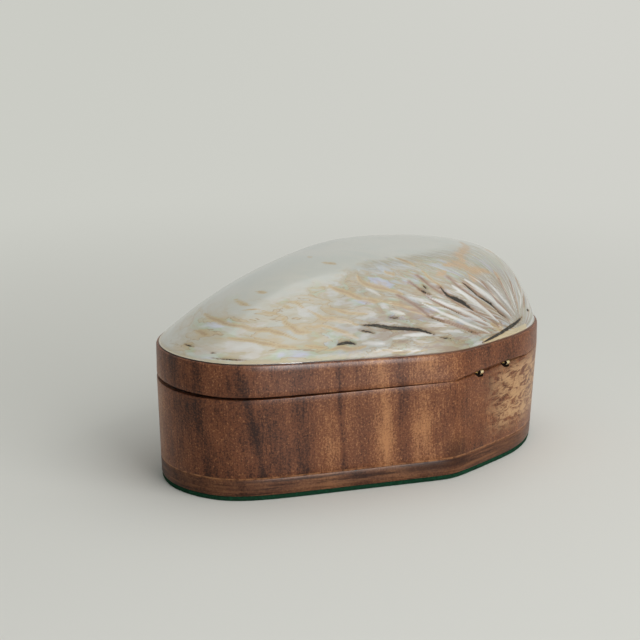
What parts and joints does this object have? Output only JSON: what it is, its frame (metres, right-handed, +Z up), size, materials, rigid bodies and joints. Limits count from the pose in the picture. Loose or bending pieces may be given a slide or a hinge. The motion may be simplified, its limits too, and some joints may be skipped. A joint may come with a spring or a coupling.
{
  "type": "hinged wooden box",
  "caption": "Oval hardwood keepsake box with a lid frame carrying one whole domed pearl shell, opening on concealed brass barrel hinges, with felt under the base.",
  "frame": {"origin": "middle of the oval plan, on the underside of the base felt", "axes": "+Z up, X along the hinge axis, +Y towards the hinge side, -Y towards the opening side"},
  "size_m": [0.1594, 0.1085, 0.0776],
  "materials": {
    "box_wood": "glossy lacquer",
    "board_wood": "satin lacquer",
    "mother_of_pearl": "polished nacre",
    "dark_resin": "cured resin",
    "green_felt": "felt",
    "brass": "plain brass"
  },
  "bodies": {
    "box": {"base_felt": "green_felt", "bottom_board": "board_wood", "body_wall": "box_wood", "compartment_lining": "green_felt", "mid_hinge_body_barrel": "brass", "end_hinge_body_barrel": "brass", "mid_hinge_pin": "brass", "end_hinge_pin": "brass"},
    "lid": {"lid_frame": "box_wood", "shell_bedding": "dark_resin", "pearl_shell": "mother_of_pearl", "mid_hinge_lid_barrel": "brass", "end_hinge_lid_barrel": "brass"}
  },
  "joints": [
    {"name": "lid_hinge", "type": "hinge", "parent": "box", "child": "lid", "pos_m": [0, 0.0518, 0.0382], "axis": [-1, 0, 0], "range_deg": [0, 92]}
  ]
}
